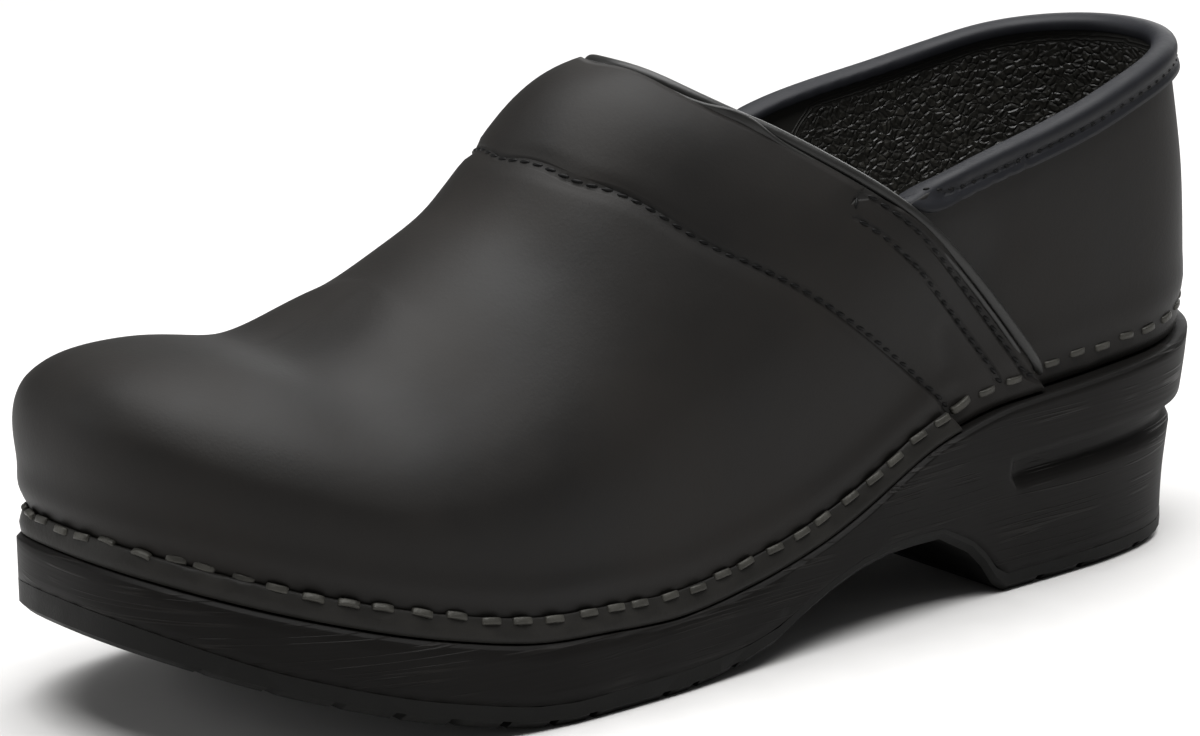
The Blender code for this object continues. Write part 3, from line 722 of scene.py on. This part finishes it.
def lining_leather():
    """Dry lining leather, with a coated patch round the heel that is embossed with a coarse pebble inside a
    smooth margin and a double edge line."""
    material, tree, place = new_material("lining_leather_with_embossed_heel")
    patch = add_node(tree, "ShaderNodeAttribute", attribute_name="patch").outputs["Fac"]
    margin = {"Value": patch, "From Min": 1.2 * MM, "From Max": 2.2 * MM}
    inside = add_node(tree, "ShaderNodeMapRange", margin).outputs["Result"]
    pair = {0: groove(tree, patch, 0.2 * MM, 0.35 * MM), 1: groove(tree, patch, 1.2 * MM, 0.35 * MM)}
    edge = add_node(tree, "ShaderNodeMath", pair, operation="MAXIMUM").outputs["Value"]
    bend = add_node(tree, "ShaderNodeTexNoise", {"Vector": place, "Scale": per(3 * MM), "Detail": 2.0})
    push = {0: bend.outputs["Color"], "Scale": 2.0 * MM}
    push = add_node(tree, "ShaderNodeVectorMath", push, operation="SCALE").outputs["Vector"]
    moved = add_node(tree, "ShaderNodeVectorMath", {0: place, 1: push}, operation="ADD").outputs["Vector"]
    size = {"Vector": moved, "Scale": per(sizes().pebble)}
    cells = add_node(tree, "ShaderNodeTexVoronoi", size, feature="DISTANCE_TO_EDGE").outputs["Distance"]
    pebble = add_node(tree, "ShaderNodeMapRange", {"Value": cells, "From Max": 0.25}).outputs["Result"]
    pebble = add_node(tree, "ShaderNodeMath", {0: pebble, 1: inside}, operation="MULTIPLY").outputs["Value"]
    fine = add_node(tree, "ShaderNodeTexNoise", {"Vector": place, "Scale": per(0.7 * MM), "Detail": 3.0})
    normal = relief(
        tree, (fine.outputs["Fac"], 0.06 * MM, 1.0), (pebble, 0.28 * MM, 1.0), (edge, 0.3 * MM, 1.0)
    )
    # Painted highlight: in noise patches the pebble tops are painted paler, as glints; the double edge line
    # is also lightened
    lightened = {"Value": bend.outputs["Fac"], "From Min": 0.5, "From Max": 0.62}
    lightened = add_node(tree, "ShaderNodeMapRange", lightened).outputs["Result"]
    painted_glints = add_node(tree, "ShaderNodeMath", {0: pebble, 1: lightened}, operation="MULTIPLY").outputs["Value"]
    light = times(colours().lining, 4.0)
    painted_glints = add_node(tree, "ShaderNodeMath", {0: painted_glints, 1: 0.35}, operation="MULTIPLY").outputs["Value"]
    trim = add_node(tree, "ShaderNodeMath", {0: edge, 1: 0.4}, operation="MULTIPLY").outputs["Value"]
    share = add_node(tree, "ShaderNodeMath", {0: trim, 1: painted_glints}, operation="MAXIMUM").outputs["Value"]
    ends = {0: share, 6: (*colours().lining, 1), 7: (*light, 1)}
    colour = add_node(tree, "ShaderNodeMix", ends, data_type="RGBA").outputs[2]
    finish(tree, colour, inside, (0.6, 0.38), normal, 0.5)
    return material


def wood_grain_foam():
    """Polyurethane foam with a moulded skin that copies wood: fine raised lines, drawn out along the sole,
    painted paler both as the grain's own tone and as painted highlight on their ridges.
    """
    material, tree, place = new_material("moulded_polyurethane_wood_grain")
    drawn = {"Vector": place, "Scale": (0.02, 0.02, 1.0)}
    drawn = add_node(tree, "ShaderNodeMapping", drawn).outputs["Vector"]
    grain = add_node(tree, "ShaderNodeTexNoise", {"Vector": drawn, "Scale": per(2.0 * MM), "Detail": 1.5})
    gaps = add_node(tree, "ShaderNodeTexNoise", {"Vector": place, "Scale": per(12 * MM), "Detail": 1.0})
    gaps = {"Value": gaps.outputs["Fac"], "From Min": 0.42, "From Max": 0.6}
    gaps = add_node(tree, "ShaderNodeMapRange", gaps).outputs["Result"]
    lines = {0: groove(tree, grain.outputs["Fac"], 0.5, 0.035), 1: gaps}
    lines = add_node(tree, "ShaderNodeMath", lines, operation="MULTIPLY").outputs["Value"]
    colour, _ = tone(tree, place, 20 * MM, colours().sole, times(colours().sole, 1.3))
    # Grain tone and painted highlight: the raised lines are painted paler than the moulding
    colour = tinted(tree, colour, lines, 0.6, times(colours().sole, 3.0))
    fine = add_node(tree, "ShaderNodeTexNoise", {"Vector": drawn, "Scale": per(0.7 * MM), "Detail": 2.0})
    normal = relief(tree, (fine.outputs["Fac"], 0.07 * MM, 1.0), (lines, 0.1 * MM, 1.0))
    finish(tree, colour, lines, (0.52, 0.42), normal, 0.1)
    return material


# Pieces


def fold_points(fold, side):
    """Points along one fold of the leather, on one side of the foot."""
    points = []
    for share in np.linspace(0, 1, 24):
        along = fold.along + (fold.to_along - fold.along) * share
        up = fold.up + (fold.to_up - fold.up) * share
        place, _ = last.on_upper(along, side, up * math.pi / 2)
        points.append(tuple(place))
    return smoothed(points)


def bell(distance, reach):
    """1 at no distance, and next to nothing at twice the reach."""
    return np.exp(-((distance / reach) ** 2))


def upper_relief(places, seam, rows):
    """How deep each place of the leather lies under the frame's skin."""
    s = sizes()
    depth = s.seam_depth * bell(seam, SEAM_REACH) + ROW_SHARE * s.seam_depth * bell(rows, ROW_REACH)
    for fold in FOLDS:
        for side in (1, -1):
            depth += fold.depth * bell(apart(places, fold_points(fold, side)), fold.width)
    up = np.array([place.z - last.ledge(place.x) for place in places])
    strip_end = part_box("front_rand")[0].x
    swell = np.array([SWELL_FRONT if place.x > strip_end else SWELL_BACK for place in places])
    depth += PULL_DEPTH * bell(up - s.staple_height, PULL_REACH)
    return depth - swell * bell(up - SWELL_UP * s.staple_height, SWELL_REACH)


def heel_patch(places):
    """How far inside the heel patch each place of the lining is, below 0 outside it."""
    rims = {side: rim_of_collar(side) for side in (1, -1)}
    found = []
    for place in places:
        rim = rims[1 if place.y > last.middle(place.x) else -1]
        down = float(np.interp(place.x, rim[:, 0], rim[:, 2])) - place.z
        front = PATCH_SLOPE * (last.at(between(PATCH, "along", down)) - place.x)
        found.append(min(down - sizes().patch_drop, front))
    return found


def make_upper():
    """The leather with its stitched seam and folds outside, and the lining with its heel patch inside."""
    bm = merged("upper")
    crease_sharp(bm, 52, 0.8)
    bm = subdivided(bm, 2)
    places = [vertex.co.copy() for vertex in bm.verts]
    outside = sits_outside(bm, last.upper)
    seam = apart(places, seam_points())
    rows = np.minimum.reduce([apart(places, line) for line in rows_beside_bead(last.upper)])
    rows = np.where(outside > 0, rows, FAR)
    sink(bm, upper_relief(places, seam, rows) * outside)
    store(bm, "seam", seam)
    store(bm, "rows", rows)
    store(bm, "patch", heel_patch(places))
    for face in bm.faces:
        leather = sum(outside[vertex.index] for vertex in face.verts) > len(face.verts) / 2
        face.material_index = 0 if leather else 1
    made = fresh("upper_leather", bm, [oiled_leather(), lining_leather()], 0, 60)
    settle(made, "upper_leather", "upper")


def collar_band():
    """Lowest and highest points of the collar's binding, from the outer side round to the inner side."""
    low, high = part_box("collar_binding")
    return last.band(skin_of("collar_binding"), 0.26, -0.26, 240, low.z - MM, high.z + MM)


def rim_of_collar(side):
    """Top of the collar on one side, as points from the heel forwards."""
    tops = [top[0] for _, top in collar_band()]
    tops = np.array([tuple(top) for top in tops if side * (top.y - last.middle(top.x)) > 0])
    return tops[np.argsort(tops[:, 0])]


def make_bead():
    """A roll along the vamp's rear edge with a small ridge in front of it, and a fine dark line between."""
    big, small = sizes().bead_radius, sizes().bead_ridge
    back, below = -0.2 * MM, -0.9 * MM
    outline = []
    for centre, radius, lift in ((back, big, 0.35 * MM), (big + 0.75 * small, small, 0.75 * MM)):
        for step in range(7):
            angle = math.pi * (1 - step / 6)
            outline.append((centre + radius * math.cos(angle), lift + radius * math.sin(angle)))
    outline += [(big + 1.6 * small, below), (back - 0.8 * big, below)]
    bead = sweep(bead_frames(1.2 * MM), outline)
    crease_sharp(bead, 80, 0.5)
    settle(fresh("edge_bead", bead, [bead_leather()], 1), "piping", "vamp_piping")


def make_binding():
    """The collar's roll, with a groove for its stitches, and front ends that run on under the bead."""
    bm = merged("collar_binding")
    crease_sharp(bm, 70, 0.4)
    bm = subdivided(bm, 2)
    line = frames_along(hem_points())
    hem = apart([vertex.co for vertex in bm.verts], [matrix.translation for matrix in line])
    outside = sits_outside(bm, skin_of("collar_binding"))
    depth = HEM_DEPTH * bell(hem, HEM_REACH) - ROLL_HEIGHT * bell(hem - ROLL_UP, ROLL_REACH)
    sink(bm, depth * outside)
    for end, onward in ((line[0], -1), (line[-1], 1)):
        run = end.col[0].to_3d() * onward
        for vertex in bm.verts:
            near = max(1 - (vertex.co - end.translation).length / (2 * TUCK), 0.0)
            vertex.co += run * (TUCK * near**0.7)
    store(bm, "hem", np.where(outside > 0, hem, 1.0))
    settle(fresh("collar_roll", bm, [binding_leather()], 0, 70), "binding", "collar_binding")


def hem_points():
    """Places and normals of the row of stitches along the binding's lower edge."""
    tree = skin_of("collar_binding")
    lows = smoothed([tuple(low[0]) for low, _ in collar_band()], 20)
    points = stepped(lows + np.array([0, 0, sizes().hem_row]), 0.6 * MM)
    return laid(tree, points)


def make_strip():
    """The strip under the front staples, leaning in to the leather at its top and resting on the ledge."""
    bm = merged("front_rand")
    crease_sharp(bm, 50, 0.95)
    bm = subdivided(bm, 2)
    for vertex in bm.verts:
        _, normal, _, gap = last.upper.find_nearest(vertex.co)
        up = min(max((vertex.co.z - last.ledge(vertex.co.x) - LEAN_FROM) / LEAN_OVER, 0.0), 1.0)
        vertex.co -= Vector((normal.x, normal.y, 0)) * (LEAN_SHARE * up * max(gap - LEAN_GAP, 0.0))
        vertex.co.z -= STRIP_DROP * (1 - up)
    settle(fresh("staple_strip", bm, [strip_leather()], 0, 50), "rand", "front_rand")


def repeated(shape, matrices):
    """One mesh with a copy of a small shape at each matrix."""
    one = bpy.data.meshes.new("shape")
    shape.to_mesh(one)
    shape.free()
    bm = bmesh.new()
    for matrix in matrices:
        start = len(bm.verts)
        bm.from_mesh(one)
        bm.verts.ensure_lookup_table()
        bmesh.ops.transform(bm, matrix=matrix, verts=bm.verts[start:])
    bpy.data.meshes.remove(one)
    bmesh.ops.recalc_face_normals(bm, faces=bm.faces)
    return bm


def thread_shape(length, width):
    """One stitch: a thread that dips into the leather at both ends."""
    bm = bmesh.new()
    bmesh.ops.create_uvsphere(bm, u_segments=8, v_segments=6, radius=0.5)
    bmesh.ops.rotate(bm, verts=bm.verts, cent=(0, 0, 0), matrix=Matrix.Rotation(math.pi / 2, 3, "Y"))
    bmesh.ops.scale(bm, verts=bm.verts, vec=(length, width, width))
    return bm


def rows_beside_bead(tree):
    """The two rows ahead of the bead on each side of the foot, closed off across their tops."""
    lines = []
    for side in (1, -1):
        first, second = (ahead_of_bead(tree, row, side) for row in (sizes().edge_row, sizes().second_row))
        tops = [line[np.argmax(line[:, 2])] for line in (first, second)]
        lines += [first, second, np.linspace(*tops, 8)]
    return lines


def make_stitches():
    """The thread of the upper's seam and rows, and of the binding's hem."""
    s = sizes()
    thread = waxed_thread()
    tree = finished_skin("upper_leather")
    slant = Matrix.Rotation(math.radians(9), 4, "Z")
    places = []
    for line in [seam_points(), *rows_beside_bead(tree)]:
        steps = frames_along(laid(tree, stepped(line, s.stitch_pitch), -0.08 * MM))[1:-1]
        places += [matrix @ slant for matrix in steps]
    bm = repeated(thread_shape(s.stitch_length, s.stitch_width), places)
    settle(fresh("upper_stitching", bm, [thread], 0, 80), "thread")
    hem = stepped([tuple(place) for place, _ in hem_points()], s.stitch_pitch)
    steps = frames_along(laid(finished_skin("collar_roll"), hem, -0.05 * MM))[1:-1]
    bm = repeated(thread_shape(s.hem_stitch, 0.7 * s.stitch_width), steps)
    settle(fresh("binding_stitching", bm, [thread], 0, 80), "thread")


def staple_shape():
    """One staple's crown: a flattened wire whose ends bend down into the leather."""
    s = sizes()
    bm = bmesh.new()
    bmesh.ops.create_cube(bm, size=1.0)
    bmesh.ops.scale(bm, verts=bm.verts, vec=(s.staple_length, s.staple_width, WIRE))
    bmesh.ops.bevel(
        bm,
        geom=list(bm.edges),
        offset=WIRE_ROUND,
        offset_type="OFFSET",
        affect="EDGES",
        segments=2,
        profile=0.5,
        material=-1,
    )
    long = [e for e in bm.edges if abs(e.verts[0].co.x - e.verts[1].co.x) > MM]
    bmesh.ops.subdivide_edges(bm, edges=long, cuts=4)
    for vert in bm.verts:
        reach = abs(vert.co.x) / (s.staple_length / 2)
        vert.co.z -= WIRE_BEND * reach**3
    return bm


def make_staples():
    """A row of staples round the foot, each a little out of line, with lumpy ones where the strip and the
    vamp end."""
    s = sizes()
    trees = [finished_skin("staple_strip"), finished_skin("upper_leather")]
    line = last.round_foot(trees, s.staple_height)
    points = smoothed([tuple(place) for place, _ in line], 2)
    slopes = smoothed([tuple(normal) for _, normal in line], 20)
    chance = np.random.default_rng(7)
    found = []
    for point in stepped(np.vstack([points, points[:1]]), s.staple_pitch)[:-1]:
        nearest = int(np.argmin(np.linalg.norm(points - point, axis=1)))
        found.append((line[nearest][0], Vector(slopes[nearest]).normalized()))
    corners = [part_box("front_rand")[0].x + 1.0 * MM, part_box("vamp_piping")[0].x + 2.5 * MM]
    places = []
    for matrix in frames_along(found):
        turn, lift, grow = chance.normal(0, STAPLE_TURN), STAPLE_LIFT, 1.0
        if min(abs(matrix.translation.x - corner) for corner in corners) < s.staple_pitch / 2:
            turn, lift, grow = CORNER_TURN, CORNER_LIFT, CORNER_SIZE
        along, up = chance.normal(0, STAPLE_STRAY) * MM, chance.normal(0, STAPLE_RISE) * MM
        shift = Matrix.Translation((along, up, lift))
        places.append(matrix @ shift @ Matrix.Rotation(math.radians(turn), 4, "Z") @ Matrix.Scale(grow, 4))
    bm = repeated(staple_shape(), places)
    settle(fresh("staples", bm, [staple_wire()], 0, 50), "staple_steel")


def make_insole():
    bm = merged("insole")
    crease_sharp(bm, 60, 0.5)
    settle(fresh("sock_lining", bm, [sock_leather()], 2), "insole_lining", "insole")


def make_sole():
    """The moulding with crisp edges, and the tread, drawn up to it so that no dark gap shows between them."""
    bm = merged("sole_frame")
    crease_sharp(bm, 26, 0.9)
    crease_sharp(bm, 40, 1.0)
    settle(fresh("sole_body", bm, [wood_grain_foam()], 2), "sole_moulding", "sole_frame")
    tread = merged("outsole")
    under = skin_of("sole_frame")
    for vertex in tread.verts:
        place, _, _, gap = under.find_nearest(vertex.co)
        if gap < TREAD_GAP and place.z > vertex.co.z:
            vertex.co.z += (place.z - vertex.co.z) * TREAD_SHARE
    settle(fresh("tread", tread, [tread_rubber()], 0, 32), "outsole_rubber", "outsole")


# The stage


TARGET = Vector((8.42, -2.50, 51.7)) * MM
AZIMUTH, ELEVATION, DISTANCE = math.radians(35.33), math.radians(14.15), 1211.4 * MM
ROLL, LENS, SENSOR = math.radians(1.35), 185.36, 36.0

# Softboxes: place and size in metres, power in watts; all of them face one point inside the clog
Softbox = namedtuple("Softbox", "name place size power")
SOFTBOXES = (
    Softbox("softbox_over", (0.0, 0.05, 1.2), (1.5, 1.3), 43),
    Softbox("softbox_toe", (1.1, -0.8, 0.5), (0.9, 0.7), 4),
    Softbox("softbox_heel", (-1.1, -0.7, 0.5), (0.9, 0.7), 6),
)
LIT_POINT = Vector((0, 0, 0.05))
SKY_STRENGTH = 0.12


def make_camera():
    data = bpy.data.cameras.new("camera")
    data.lens = LENS
    data.sensor_width = SENSOR
    camera = bpy.data.objects.new("camera", data)
    bpy.context.scene.collection.objects.link(camera)
    flat = math.cos(ELEVATION)
    back = Vector((math.sin(AZIMUTH) * flat, math.cos(AZIMUTH) * flat, math.sin(ELEVATION)))
    right = Vector((0, 0, 1)).cross(back).normalized()
    up = back.cross(right)
    facing = Matrix((right, up, back)).transposed().to_4x4()
    facing.translation = TARGET + back * DISTANCE
    camera.matrix_world = facing @ Matrix.Rotation(-ROLL, 4, "Z")
    bpy.context.scene.camera = camera


def add_light(box):
    data = bpy.data.lights.new(box.name, "AREA")
    data.shape = "RECTANGLE"
    data.size, data.size_y = box.size
    data.energy = box.power
    light = bpy.data.objects.new(box.name, data)
    bpy.context.scene.collection.objects.link(light)
    light.location = box.place
    light.rotation_euler = (LIT_POINT - Vector(box.place)).to_track_quat("-Z", "Y").to_euler()


def make_stage():
    bm = bmesh.new()
    bmesh.ops.create_grid(bm, x_segments=2, y_segments=2, size=4.0)
    paint = plain("painted_studio_floor", colours().floor, 0.8, 2 * MM, 0.0, spread=1.02)
    fresh("studio_floor", bm, [paint])
    make_camera()
    for box in SOFTBOXES:
        add_light(box)
    world = bpy.data.worlds.new("studio")
    world.use_nodes = True
    world.node_tree.nodes["Background"].inputs["Color"].default_value = (1, 1, 1, 1)
    world.node_tree.nodes["Background"].inputs["Strength"].default_value = SKY_STRENGTH
    bpy.context.scene.world = world
    bpy.context.scene.view_settings.view_transform = "Standard"


class CLOG_OT_upper(bpy.types.Operator):
    """Lays the leather of vamp and quarter over the frame's upper"""

    bl_idname = "clog.upper"
    bl_label = "Upper"

    def execute(self, context):
        make_upper()
        return {"FINISHED"}


class CLOG_OT_edges(bpy.types.Operator):
    """Adds the bead, the collar's binding and the strip under the staples"""

    bl_idname = "clog.edges"
    bl_label = "Edges"

    def execute(self, context):
        make_bead()
        make_binding()
        make_strip()
        return {"FINISHED"}


class CLOG_OT_fastenings(bpy.types.Operator):
    """Adds the stitches and the staples"""

    bl_idname = "clog.fastenings"
    bl_label = "Stitches and staples"

    def execute(self, context):
        make_stitches()
        make_staples()
        return {"FINISHED"}


class CLOG_OT_sole(bpy.types.Operator):
    """Finishes the sole, its tread and the sock lining"""

    bl_idname = "clog.sole"
    bl_label = "Sole"

    def execute(self, context):
        make_sole()
        make_insole()
        return {"FINISHED"}


class CLOG_OT_stage(bpy.types.Operator):
    """Sets the floor, the lights and the camera"""

    bl_idname = "clog.stage"
    bl_label = "Stage"

    def execute(self, context):
        make_stage()
        return {"FINISHED"}


class CLOG_PT_panel(bpy.types.Panel):
    bl_label = "Chef Clog"
    bl_idname = "CLOG_PT_panel"
    bl_space_type = "VIEW_3D"
    bl_region_type = "UI"
    bl_category = "Clog"

    def draw(self, context):
        for operator in OPERATORS:
            self.layout.operator(operator.bl_idname)
        for group in (context.scene.clog_sizes, context.scene.clog_colours):
            box = self.layout.box()
            for name in type(group).__annotations__:
                box.prop(group, name)


OPERATORS = (CLOG_OT_upper, CLOG_OT_edges, CLOG_OT_fastenings, CLOG_OT_sole, CLOG_OT_stage)
CLASSES = (ClogSizes, ClogColours, *OPERATORS, CLOG_PT_panel)


def register():
    for each in CLASSES:
        bpy.utils.register_class(each)
    bpy.types.Scene.clog_sizes = PointerProperty(type=ClogSizes)
    bpy.types.Scene.clog_colours = PointerProperty(type=ClogColours)


def unregister():
    del bpy.types.Scene.clog_colours
    del bpy.types.Scene.clog_sizes
    for each in reversed(CLASSES):
        bpy.utils.unregister_class(each)


def main():
    register()
    bpy.ops.clog.upper()
    bpy.ops.clog.edges()
    bpy.ops.clog.fastenings()
    bpy.ops.clog.sole()
    bpy.ops.clog.stage()


if __name__ == "__main__":
    main()
